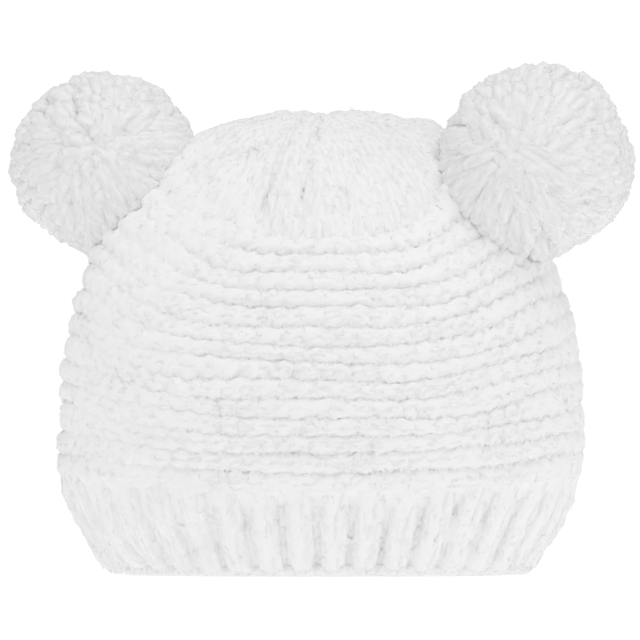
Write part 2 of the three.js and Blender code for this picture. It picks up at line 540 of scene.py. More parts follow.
@dataclass(frozen=True)
class Hands:
    """How unevenly hands knit: the size of each fault, and the points from one to the next."""

    slip: float = 0.05
    slip_every: int = 12
    sway: float = 0.3 * MM
    sway_every: int = 17
    shake: float = 0.1 * MM
    shake_every: int = 5
    puff: float = 0.05
    puff_every: int = 11
    nub: float = 0.02


@dataclass
class Knitting:
    """What the three knitted parts share: the form, and how a row is laid on it."""

    form: HatForm
    seed: int = 1
    yarn: Yarn = field(default_factory=lambda: Yarn(2.5 * MM))
    hands: Hands = Hands()
    span: tuple[float, float] = (-0.1, 1.2)
    nap: float = 0.4
    nap_side: tuple[float, float] = (0.2, 0.8)
    right_nap: float = 0.0
    right_side: tuple[float, float] = (0.84, 0.98)
    edge_scallop: float = 0.0
    edge_side: tuple[float, float] = (0.94, 1.0)
    top_nap: float = 0.0
    top_from: float = 0.7
    top_over: float = 0.25
    shoulder_side: tuple[float, float] = (0.45, 0.68)
    level_start: float = 0.0
    level_share: float = 1.0
    drift_grows: float = 6
    drift: Unevenness = field(default_factory=lambda: Unevenness(5, 0.2))
    swell: Unevenness = field(default_factory=lambda: Unevenness(6, 0.5 * MM))
    lumps: Unevenness = field(default_factory=lambda: Unevenness(7, 0.25 * MM, *LUMP_WAVES))
    stipple: Unevenness = field(default_factory=lambda: Unevenness(8, 0.28 * MM, *STIPPLE_WAVES))

    def row(
        self, zone: Zone, middle: float, pitch: float, shares: Array, rise: Array, out: Array,
        rng: np.random.Generator,
    ) -> tuple[Array, Array]:
        """Lays one row of loops on the form.

        Args:
            zone: The zone that the row is in.
            middle: The share up the zone of the middle of the row.
            pitch: The share of the zone from one row to the next.
            shares: The place of each point along the round.
            rise: The height of each point, in rows.
            out: How far each point stands outside the form.
            rng: The source of the unevenness of hand knitting.

        Returns:
            The points of the strand, and its thickness at each of them.
        """
        hands = self.hands
        angle = self.form.angles(zone, middle, shares)
        count = len(shares)
        level = np.full(count, middle)
        shift = self.shift(level, angle) + wander(rng, count, hands.slip_every, hands.slip)
        t = np.clip(middle + pitch * (rise + shift), *self.span)
        swell = self.swell.at(angle, self.level(level))
        swell = swell + wander(rng, count, hands.sway_every, hands.sway)
        path = self.form.place(zone, t, angle, out + swell)
        path += np.stack([wander(rng, count, hands.shake_every, hands.shake) for _ in range(3)], -1)
        plump = 1 + wander(rng, count, hands.puff_every, hands.puff)
        return path, plump + rng.normal(0, hands.nub, count)

    def level(self, t: Array) -> Array:
        """Turns shares up a zone into a measure that runs on from one zone to the next."""
        return self.level_start + self.level_share * t

    def left_side(self, angle: Array, start: float, end: float) -> Array:
        """Gives 1 on the hat's left and 0 on its right, with a smooth change between.

        Args:
            angle: The angles round the hat.
            start: Where the change starts, as a share of the half width left of the middle.
            end: Where the change ends.

        Returns:
            The share at each angle.
        """
        across = -np.sign(np.cos(angle)) * np.abs(np.cos(angle)) ** (2 / self.form.section_power)
        return np.clip((across - start) / (end - start), 0, 1)

    def on_shoulder(self, angle: Array) -> Array:
        """Gives how far round on the hat's left shoulder the angles are."""
        return self.left_side(angle, *self.shoulder_side)

    def brushed(self, t: Array, angle: Array) -> Array:
        """Gives how far the nap hides the gaps, which it does most on the hat's left.

        Args:
            t: The shares of the way up the zone.
            angle: The angles round the hat.

        Returns:
            How far the gaps are hidden, from 0 to 1.
        """
        shoulder = self.on_shoulder(angle) * rising(t - self.top_from, self.top_over)
        left = self.nap * self.left_side(angle, *self.nap_side)
        left = left * (1 - self.edge_scallop * self.left_side(angle, *self.edge_side))
        right = self.right_nap * self.left_side(math.pi - angle, *self.right_side)
        return np.maximum(left + right, shoulder * self.top_nap)

    def shift(self, t: Array, angle: Array) -> Array:
        """Gives how far the rows have drifted, in rows, which dies away at a zone's ends."""
        return self.drift.at(angle, t) * np.clip(self.drift_grows * np.minimum(t, 1 - t), 0, 1)


@dataclass
class GarterBody(Knitting):
    """The garter-stitch body: two rows of loops to each of its ridges."""

    ridges: int = 14
    stitch_width: float = 7.0 * MM
    centre: float = -4.2 * MM
    full_height: float = 3.45 * MM
    stretches: tuple[float, float] = (0.94, 1.6)
    stretch_power: float = 0.75
    felt_ridge: float = 1.3 * MM
    felt_groove: float = 3.1 * MM
    groove_power: int = 14
    groove_start: float = 2.5
    combed: float = 0.3 * MM
    worn: float = 0.5 * MM
    worn_left: tuple[float, float] = (0.3, 0.8)
    worn_right: tuple[float, float] = (0.7, 0.9)
    balls: tuple[tuple[Array, float], ...] = ()
    pressed_reach: float = 9 * MM
    pressed_most: float = 0.7
    nap: float = 0.8
    nap_side: tuple[float, float] = (0.3, 0.85)
    right_nap: float = 0.6
    edge_scallop: float = 0.8
    top_nap: float = 1.0
    waves: int = 70
    wavy: float = 0.07
    wave_step: float = 2.4
    second_wave: float = 0.6
    stipple_side: tuple[float, float] = (0.2, 0.8)
    least_stipple: float = 0.5
    scallop: float = 1.6 * MM
    scallop_side: tuple[float, float] = (0.8, 1.0)
    scallop_low: float = 0.45
    scallop_rest: float = 0.4
    loops: Loops = Loops(height=0.78, lean=0.22, depth=0.9 * MM, samples=10)

    def build(self) -> list[bpy.types.Object]:
        """Knits the ridges, one piece to each."""
        rng = np.random.default_rng(self.seed)
        return [self._ridge(ridge, rng) for ridge in range(self.ridges)]

    def _ridge(self, ridge: int, rng: np.random.Generator) -> bpy.types.Object:
        """Knits the two rows of one ridge, whose loops stand side by side.

        Args:
            ridge: The number of the ridge, counted up from the brim.
            rng: The source of the unevenness.

        Returns:
            The two rows as one piece.
        """
        pitch = 1 / (2 * self.ridges)
        length = self.form.length(Zone.BODY, (ridge + 0.5) / self.ridges)
        count = round(length / self.stitch_width)
        start = rng.uniform(0, 1)
        paths, plumps = [], []
        for row, stitch in enumerate((Stitch.GARTER_LOWER, Stitch.GARTER_UPPER), 2 * ridge):
            middle = (row + 0.5) / (2 * self.ridges)
            along, rise, out = self.loops.trace(stitch, count)
            shares = (along + start) / count
            angle = self.form.angles(Zone.BODY, middle, shares)
            height = self._row_height(middle, pitch, angle)
            stretch = np.clip(height / self.full_height, *self.stretches) ** self.stretch_power
            sunk = out + self.centre - self.yarn.radius * (stretch - 1)
            sunk = sunk + self._scalloped(self.ridges * (middle + rise * pitch), angle)
            path, plump = self.row(Zone.BODY, middle, pitch, shares, rise, sunk, rng)
            paths.append(path)
            plumps.append(plump * stretch)
        return self.yarn.lay(f"garter_ridge_{ridge + 1:02d}", paths, plumps)

    def felt(self, t: Array, angle: Array) -> Array:
        """Gives how far out the felted middle of the fabric reaches, ridge by ridge.

        Args:
            t: The shares of the way up the zone.
            angle: The angles round the hat.

        Returns:
            How far out it reaches.
        """
        phase = self.ridges * (t - self.shift(t, angle) / (2 * self.ridges))
        nearest = np.round(phase)
        wave = np.sin(self.waves * angle + self.wave_step * nearest)
        wave = wave + self.second_wave * np.sin(self.second_wave * self.waves * angle - nearest)
        groove = np.abs(np.cos(math.pi * (phase + self.wavy * wave))) ** self.groove_power
        groove = groove * (1 - self.brushed(t, angle))
        groove = groove * np.clip(self.groove_start * self.ridges * t, 0, 1)
        groove = groove * (1 - self._pressed(t, angle))
        ridge = self.felt_ridge - self.combed * t - self.worn * self._sides(angle)
        sunk = ridge + (self.felt_groove - ridge) * groove - self._scalloped(phase, angle)
        stippled = self.least_stipple + self.left_side(angle, *self.stipple_side) * t
        rough = self.lumps.at(angle, t) + self.stipple.at(angle, t) * stippled
        return self.swell.at(angle, t) + rough - sunk

    def _scalloped(self, phase: Array, angle: Array) -> Array:
        """Gives how far the ridges stand out, and their grooves sink, at the hat's left edge.

        Args:
            phase: The heights of the places, in ridges.
            angle: The angles round the hat.

        Returns:
            How far out each place is moved, below 0 where it sinks.
        """
        grown = self.scallop_low + (1 - self.scallop_low) * phase / self.ridges
        depth = self.scallop * self.left_side(angle, *self.scallop_side) * grown
        return depth * (np.abs(np.sin(math.pi * phase)) - self.scallop_rest)

    def _pressed(self, t: Array, angle: Array) -> Array:
        """Gives how far the grooves are pressed shut round the pompoms.

        Args:
            t: The shares of the way up the zone.
            angle: The angles round the hat.

        Returns:
            How far each place is pressed, from 0 to 1.
        """
        points = self.form.points(Zone.BODY, t, angle)
        pressed = np.zeros(t.shape)
        for middle, radius in self.balls:
            away = np.linalg.norm(points - middle, axis=-1) - radius
            close = np.clip(1 - away / self.pressed_reach, 0, self.pressed_most)
            pressed = np.maximum(pressed, close)
        return pressed

    def _sides(self, angle: Array) -> Array:
        """Gives how worn the fabric is round the hat, which is most at its two sides."""
        left = self.left_side(angle, *self.worn_left)
        return np.maximum(left, self.left_side(math.pi - angle, *self.worn_right))

    def _row_height(self, middle: float, pitch: float, angle: Array) -> Array:
        """Gives the height of a row along the form, which grows towards the shoulders.

        Args:
            middle: The share up the body of the middle of the row.
            pitch: The share of the body from one row to the next.
            angle: The angles round the hat.

        Returns:
            The height at each angle.
        """
        low = self.form.points(Zone.BODY, np.full(angle.shape, middle - pitch / 2), angle)
        high = self.form.points(Zone.BODY, np.full(angle.shape, middle + pitch / 2), angle)
        return np.linalg.norm(high - low, axis=1)


@dataclass(frozen=True)
class CastOn:
    """The sizes of the cast-on edge, where two strands twist round each other."""

    samples: int = 16
    turns: float = 1.5
    level: float = 0.05
    middle: float = 0.9 * MM
    rise: float = 0.6 * MM
    out: float = 1.7 * MM
    sway: float = 0.3 * MM
    sway_every: int = 30
    plump: float = 0.92


@dataclass
class RibbedBrim(Knitting):
    """The knit-one purl-one band, and the cast-on edge under it."""

    ribs: int = 40
    rows: int = 7
    starts: float = 0.1
    knit_share: float = 0.82
    centre: float = -4.6 * MM
    plumpness: float = 1.14
    broad_leg: float = 0.14
    level_start: float = -0.28
    level_share: float = 0.28
    felt_level: float = 0.6
    felt_lumps: float = 0.8
    felt_rib: float = 0.5 * MM
    felt_purl: float = 1.7 * MM
    rib_edge: float = 1.5
    rib_breadth: float = 1.2
    rounding: float = 1.9 * MM
    left_rounding: float = 0.45
    rounded_side: tuple[float, float] = (0.3, 0.8)
    closes_over: float = 0.2
    closing_power: float = 0.7
    pinch: float = 0.1
    tuck: float = 1.3 * MM
    tuck_from: float = 0.8
    tuck_over: float = 0.22
    felt_tuck: float = 0.8 * MM
    felt_tuck_over: float = 0.2
    loops: Loops = Loops(height=1.2, lean=0.14, depth=2.1 * MM, samples=12)
    edge: CastOn = CastOn()

    def build(self) -> list[bpy.types.Object]:
        """Knits the ribbing and its cast-on edge.

        Returns:
            The rows as one piece, and the edge.
        """
        rng = np.random.default_rng(self.seed + 1)
        paths, plumps = [], []
        pitch = (1 - self.starts) / self.rows
        for row in range(self.rows):
            along, rise, out = self.loops.trace(Stitch.RIB, 2 * self.ribs)
            pair, within = np.divmod(along, 2)
            leg = np.where(within < 1, -np.sin(within * TURN), 0.0)
            within = self._drawn_together(within)
            shares = (2 * pair + within) / (2 * self.ribs)
            middle = self.starts + (row + 0.5) * pitch
            tucked = self.tuck * rising(middle + pitch * rise - self.tuck_from, self.tuck_over)
            angle = self.form.angles(Zone.BRIM, middle, shares)
            out = out + self.centre - tucked - self._rounded(within / 2, angle)
            path, plump = self.row(Zone.BRIM, middle, pitch, shares, rise, out, rng)
            plump = plump * (self.plumpness + self.broad_leg * leg)
            path[:, 2] = np.maximum(path[:, 2], plump * self.yarn.radius)
            paths.append(path)
            plumps.append(plump)
        return [self.yarn.lay("rib_rows", paths, plumps), self._cast_on(rng)]

    def _drawn_together(self, within: Array) -> Array:
        """Draws the ribbing together, so that its knit stitches take most of the width.

        Args:
            within: The places in a pair of stitches, 0 to 1 in the knit and 1 to 2 in the purl.

        Returns:
            The same places once the pair is drawn together.
        """
        split = 2 * self.knit_share
        drawn = 0.5 + (within - 0.5) * (1 - self.pinch * np.sin(within * math.pi) ** 2)
        return np.where(within < 1, drawn * split, split + (within - 1) * (2 - split))

    def felt(self, t: Array, angle: Array) -> Array:
        """Gives how far out the felted middle of the fabric reaches, rib by rib.

        Args:
            t: The shares of the way up the zone.
            angle: The angles round the hat.

        Returns:
            How far out it reaches.
        """
        within = (self.form.shares(Zone.BRIM, self.felt_level, angle) * self.ribs) % 1
        rib = np.clip(self.rib_edge * self._crest(within) + self.rib_breadth, 0, 1)
        closing = np.clip((1 - t) / self.closes_over, 0, 1) ** self.closing_power
        purl = (self.felt_purl - self.felt_rib) * (1 - self.brushed(t, angle)) * (1 - rib)
        purl = purl * closing + self._rounded(within, angle) * closing
        top = self.felt_tuck * rising(t - self.tuck_from, self.felt_tuck_over)
        level = self.level(t)
        rough = self.swell.at(angle, level) + self.felt_lumps * self.lumps.at(angle, level)
        return rough - self.felt_rib - purl - top

    def _crest(self, within: Array) -> Array:
        """Gives 1 at the middle of a rib and -1 between two, at shares of the way across one."""
        return np.cos((within - self.knit_share / 2) * TURN)

    def _rounded(self, within: Array, angle: Array) -> Array:
        """Gives how far the fabric falls away from the middle of each rib to its flanks.

        Args:
            within: The shares of the way from one rib to the next.
            angle: The angles round the hat.

        Returns:
            How far in each place lies.
        """
        left = self.left_side(angle, *self.rounded_side)
        depth = self.rounding * (1 - (1 - self.left_rounding) * left)
        return depth * (0.5 - 0.5 * self._crest(within))

    def _cast_on(self, rng: np.random.Generator) -> bpy.types.Object:
        """Twists the two strands of the cast-on edge round the opening.

        Args:
            rng: The source of the unevenness.

        Returns:
            The edge.
        """
        edge = self.edge
        count = self.ribs * edge.samples
        shares = np.arange(count) / count
        angle = self.form.angles(Zone.BRIM, edge.level, shares)
        strands = []
        for start in (0, math.pi):
            twist = shares * TURN * self.ribs * edge.turns + start
            t = (edge.middle + edge.rise * np.sin(twist)) / self.form.brim_side
            out = self.centre + edge.out * np.cos(twist)
            out = out + wander(rng, count, edge.sway_every, edge.sway)
            strand = self.form.place(Zone.BRIM, t, angle, out)
            strand[:, 2] = np.maximum(strand[:, 2], edge.plump * self.yarn.radius)
            strands.append(strand)
        return self.yarn.lay("cast_on_edge", strands, [np.full(count, edge.plump)] * 2)


@dataclass(frozen=True)
class Crease:
    """A fold of the crown: where it lies, and how wide and deep it is.

    It is faint all along and deepest at one share of the way up. Where it slants, its degrees
    are those at that share, and change by the slant over the whole height of the crown.
    """

    degrees: float
    slant: float
    deepest: float
    spread: float
    depth: float
    width: float
    faint: float = 0.3
    narrowing: float = 0.16
    narrowest: float = 0.4 * MM
    foot: float = 0.08
    head: float = 0.25

    def sunk(self, t: Array, angle: Array, radius: Array) -> Array:
        """Gives how deep the fold is at places on the crown.

        Args:
            t: The shares of the way up the crown.
            angle: The angles round the hat.
            radius: The distances of the places from the crown's middle.

        Returns:
            The depth of the fold at each place.
        """
        middle = math.radians(self.degrees) + math.radians(self.slant) * (t - self.deepest)
        away = half_turned(angle - middle)
        width = np.minimum(self.width, self.narrowing * radius + self.narrowest)
        across = bell(away * radius, width)
        ends = rising(t, self.foot) * rising(1 - t, self.head)
        along = self.faint + (1 - self.faint) * bell(t - self.deepest, self.spread)
        return self.depth * across * along * ends


@dataclass
class GatheredCrown(Knitting):
    """The smooth crown, decreased in sections and drawn in to deep folds."""

    sections: int = 8
    stitches: tuple[int, ...] = (6, 6, 6, 5, 5, 4, 4, 3, 3, 2, 2)
    ends: float = 0.93
    span: tuple[float, float] = (-0.03, 0.97)
    blend: float = 2.3 * MM
    felt_blend: float = -0.25 * MM
    blend_up: float = 0.35
    centre: float = -3.4 * MM
    loops: Loops = Loops(height=0.95, lean=0.2, depth=0.8 * MM, samples=12)
    # degrees, slant, deepest, spread, depth, width and, where it is not the usual, faint
    creases: tuple[Crease, ...] = (
        Crease(-96.5, 0, 0.23, 0.16, 4.6 * MM, 1.8 * MM, 0.4),
        Crease(-94.0, 0, 0.62, 0.18, 3.4 * MM, 1.8 * MM),
        Crease(-115.0, -14, 0.2, 0.14, 4.0 * MM, 2.1 * MM, 0.4),
        Crease(-139.0, 67, 0.34, 0.3, 2.4 * MM, 1.9 * MM, 0.1),
        Crease(-62.0, 40, 0.28, 0.12, 1.0 * MM, 2.0 * MM, 0.1),
        Crease(-81.0, 0, 0.14, 0.1, 2.4 * MM, 1.8 * MM, 0.2),
        Crease(-32.0, 10, 0.4, 0.3, 2.0 * MM, 2.2 * MM),
        Crease(-163.0, 0, 0.3, 0.3, 2.0 * MM, 2.2 * MM),
        Crease(5.0, 20, 0.4, 0.3, 2.4 * MM, 2.2 * MM),
        Crease(33.0, -15, 0.3, 0.2, 3.0 * MM, 2.0 * MM),
        Crease(62.0, 10, 0.45, 0.2, 2.6 * MM, 2.0 * MM),
        Crease(88.0, 0, 0.25, 0.3, 3.4 * MM, 2.0 * MM),
        Crease(112.0, -20, 0.4, 0.2, 2.4 * MM, 2.0 * MM),
        Crease(141.0, 15, 0.3, 0.3, 2.8 * MM, 2.2 * MM),
        Crease(170.0, 0, 0.4, 0.2, 2.2 * MM, 2.2 * MM),
    )
    level_start: float = 1.0
    level_share: float = 0.5
    felt_depth: float = 0.85 * MM
    felt_fold: float = 0.85
    felt_lumps: float = 0.4
    felt_tuck_over: float = 0.04
    thick: float = 1.16
    thin: float = 1.04
    thin_from: float = 0.6
    ball: tuple[Array, float] = field(default_factory=lambda: (np.zeros(3), 0.0))
    pull: float = 2.4 * MM
    pull_reach: float = 4.5 * MM
    tuck: float = 1.5 * MM
    tuck_over: float = 0.05

    def build(self) -> list[bpy.types.Object]:
        """Knits the crown.

        Returns:
            Its rows as one piece.
        """
        rng = np.random.default_rng(self.seed + 2)
        pitch = self.ends / len(self.stitches)
        paths, plumps = [], []
        for row, width in enumerate(self.stitches):
            count = width * self.sections
            along, rise, out = self.loops.trace(Stitch.SMOOTH, count)
            middle = (row + 0.5) * pitch
            t = middle + pitch * rise
            angle = self.form.angles(Zone.CROWN, middle, along / count)
            edge = self._edge(t, angle, self.tuck_over, self.blend)
            out = out + self.centre + self.fold(t, angle) - edge
            path, plump = self.row(Zone.CROWN, middle, pitch, along / count, rise, out, rng)
            paths.append(path)
            plumps.append(plump * (self.thick if middle < self.thin_from else self.thin))
        return [self.yarn.lay("crown_rows", paths, plumps)]

    def felt(self, t: Array, angle: Array) -> Array:
        """Gives how far out the felted middle of the fabric reaches, folds and all.

        Args:
            t: The shares of the way up the crown.
            angle: The angles round the hat.

        Returns:
            How far out it reaches.
        """
        level = self.level(t)
        lumps = (1 - self.felt_lumps * t) * self.lumps.at(angle, level)
        swell = self.swell.at(angle, level) * (1 - t) + lumps
        stippled = (1 - t) * (0.5 + self.on_shoulder(angle))
        swell = swell + self.stipple.at(angle, level) * stippled
        edge = self._edge(t, angle, self.felt_tuck_over, self.felt_blend)
        return swell - self.felt_depth - edge + self.felt_fold * self.fold(t, angle)

    def _edge(self, t: Array, angle: Array, tuck_over: float, blend: float) -> Array:
        """Gives how far the crown sinks where it starts: a tuck, or a blend on the left shoulder.

        Args:
            t: The shares of the way up the crown.
            angle: The angles round the hat.
            tuck_over: The share of the crown that the tuck takes.
            blend: How deep the blend is.

        Returns:
            How far in each place lies.
        """
        left = self.on_shoulder(angle)
        tucked = self.tuck * (1 - left) * np.clip(1 - t / tuck_over, 0, 1)
        return tucked + blend * left * np.clip(1 - t / self.blend_up, 0, 1)

    def _pulled(self, t: Array, angle: Array) -> Array:
        """Gives how far the crown is drawn in beside the right pompom, which leans on it.

        Args:
            t: The shares of the way up the zone.
            angle: The angles round the hat.

        Returns:
            How far in each place lies.
        """
        middle, radius = self.ball
        points = self.form.points(Zone.CROWN, t, angle)
        away = np.linalg.norm(points - middle, axis=-1) - radius
        return self.pull * bell(away, self.pull_reach)

    def fold(self, t: Array, angle: Array) -> Array:
        """Gives how deep the folds of the crown sink at places on it.

        Args:
            t: The shares of the way up the zone.
            angle: The angles round the hat.

        Returns:
            How far out each place lies, which is never above 0.
        """
        radius = self.form.width.half_size(np.float64(self.form.body_side)) * (1 - t)
        sunk = [crease.sunk(t, angle, radius) for crease in self.creases]
        return -np.max(sunk, axis=0) - self._pulled(t, angle)


@dataclass(frozen=True)
class Wall:
    """Where the core of a zone starts and ends, and how fine it is."""

    zone: Zone
    low: float
    high: float
    steps: int
    finer: int = 1


@dataclass
class Core:
    """The felted middle of the fabric, which closes the gaps between the loops."""

    form: HatForm
    inside: float = 5.7 * MM
    thinnest: float = 1 * MM
    around: int = 360
    inner_step: int = 3
    crisp_from: float = 50.0

    def build(self, wall: Wall, felt: Callable[[Array, Array], Array]) -> bpy.types.Object:
        """Makes a closed wall along the middle of one zone's fabric.

        Args:
            wall: Where the wall runs, and how fine it is.
            felt: Gives how far out the wall reaches at shares up the zone and angles.

        Returns:
            The wall.
        """
        zone = wall.zone
        around = self.around * wall.finer
        angle = np.arange(around) / around * TURN
        t = np.linspace(wall.low, wall.high, wall.steps + 1)
        t_grid, angle_grid = np.meshgrid(t, angle, indexing="ij")
        outer = felt(t_grid, angle_grid)
        inner = np.minimum(outer - self.thinnest, -self.inside)
        loop = np.concatenate([
            self.form.place(zone, t_grid, angle_grid, outer),
            self.form.place(zone, t_grid, angle_grid, inner)[:: -self.inner_step],
        ])
        index = np.arange(len(loop) * around).reshape(len(loop), around)
        above, beside = np.roll(index, -1, 0), np.roll(index, -1, 1)
        faces = np.stack([index, beside, np.roll(above, -1, 1), above], -1).reshape(-1, 4)
        core = mesh_piece(f"{zone.value}_core", loop.reshape(-1, 3), faces)
        select_only(core)
        bpy.ops.object.shade_smooth_by_angle(angle=math.radians(self.crisp_from))
        return core


def mesh_piece(name: str, points: Array, faces: Array, smooth: bool = True) -> bpy.types.Object:
    """Makes a mesh object from points and faces.

    Args:
        name: The name of the piece.
        points: Its points.
        faces: The numbers of the corners of each face, which all have as many.
        smooth: Whether it is shaded smooth.

    Returns:
        The object.
    """
    mesh = bpy.data.meshes.new(name)
    corners = faces.shape[1]
    mesh.vertices.add(len(points))
    mesh.vertices.foreach_set("co", np.ascontiguousarray(points, np.float32).ravel())
    mesh.loops.add(faces.size)
    mesh.loops.foreach_set("vertex_index", np.ascontiguousarray(faces, np.int32).ravel())
    mesh.polygons.add(len(faces))
    mesh.polygons.foreach_set("loop_start", np.arange(len(faces), dtype=np.int32) * corners)
    mesh.update(calc_edges=True)
    if smooth:
        mesh.shade_smooth()
    mesh.validate()
    piece = bpy.data.objects.new(name, mesh)
    bpy.context.scene.collection.objects.link(piece)
    return piece


def read_faces(piece: bpy.types.Object) -> tuple[Array, Array, Array]:
    """Reads a mesh's faces.

    Args:
        piece: The mesh object.

    Returns:
        The centres, the normals and the areas.
    """
    polygons = piece.data.polygons
    count = len(polygons)
    centres, normals, areas = np.empty(count * 3), np.empty(count * 3), np.empty(count)
    polygons.foreach_get("center", centres)
    polygons.foreach_get("normal", normals)
    polygons.foreach_get("area", areas)
    return centres.reshape(-1, 3), normals.reshape(-1, 3), areas


@dataclass
class Fuzz:
    """The brushed fibres that stand off the yarn: thin closed spikes, mostly laid over."""

    seed: int
    count: int
    length: float = 2.6 * MM
    thickness: float = 0.26 * MM
    lift: float = 0.35
    lengths: tuple[float, float] = (0.5, 1.4)
    tip_share: float = 0.5

    def build(self, name: str, pieces: list[bpy.types.Object]) -> bpy.types.Object:
        """Grows the fibres of some pieces of yarn as one mesh.

        Args:
            name: The name of the piece.
            pieces: The yarn that the fibres grow on.

        Returns:
            The fibres.
        """
        rng = np.random.default_rng(self.seed)
        parts = [read_faces(piece) for piece in pieces]
        places, normals, areas = (np.concatenate(part) for part in zip(*parts, strict=True))
        count = self.count
        chosen = rng.choice(len(areas), count, p=areas / areas.sum())
        root, up = places[chosen], normals[chosen]
        way = rng.normal(0, 1, (count, 3))
        way -= up * (way * up).sum(1, keepdims=True)
        way = unit(way)
        side = np.cross(up, way)
        lift = np.abs(rng.normal(0, self.lift, (count, 1)))
        reach = self.length * rng.uniform(*self.lengths, (count, 1))
        tip = root + reach * (way + lift * up) / np.sqrt(1 + lift**2)
        half = self.thickness / 2
        corners = [
            root + side * half - up * half,
            root - side * half - up * half,
            root + up * half,
            tip + up * half * self.tip_share,
        ]
        points = np.stack(corners, 1).reshape(-1, 3)
        points[:, 2] = np.maximum(points[:, 2], 0)
        base = np.arange(count)[:, None, None] * len(corners)
        faces = (base + np.array([[0, 1, 2], [0, 3, 1], [1, 3, 2], [2, 3, 0]])).reshape(-1, 3)
        return mesh_piece(name, points, faces, smooth=False)


# ------------------------------------------------------------- the pompoms


@dataclass(frozen=True)
class Strands:
    """How the strands of a pompom lie: their ends, their bends and their unevenness."""

    count: int = 720
    steps: tuple[float, ...] = (0.0, 0.3, 0.55, 0.77, 0.91, 0.98, 1.0)
    taper: tuple[float, ...] = (0.8, 0.92, 1.02, 1.1, 1.14, 1.02, 0.6)
    plump: float = 0.1
    skirt: float = 6.5 * MM
    tip_jitter: float = 0.06
    root: float = 0.72
    climb: float = 1.15
    whorl: float = 0.3
    whorl_scale: float = 2.2
    whorl_jitter: float = 0.08
    splay: float = 1.5
    splay_behind: float = 0.3
    splay_range: tuple[float, float] = (0.7, 1.2)
    curl: float = 1.4
    uneven: float = 0.028
    rough: float = 0.02
    rough_scale: float = 3.0
    tousle: float = 5.2 * MM
    tuft_scale: float = 4.6
    shake: float = 0.35 * MM
    calm_length: float = 0.7
    calm_tousle: float = 0.5


@dataclass(frozen=True)
class Heart:
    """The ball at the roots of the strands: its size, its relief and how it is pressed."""

    share: float = 0.95
    divisions: int = 6
    calmed: float = 0.092
    lump: float = 0.012
    lump_scale: float = 0.14
    end_size: float = 4.2 * MM
    end_relief: float = 0.03
    end_middle: float = 0.45
    clearance: float = -3.8 * MM
    pressed: float = 16 * MM
    foot: float = 8 * MM
    settling: float = 0.9
    settling_forward: float = 1.2


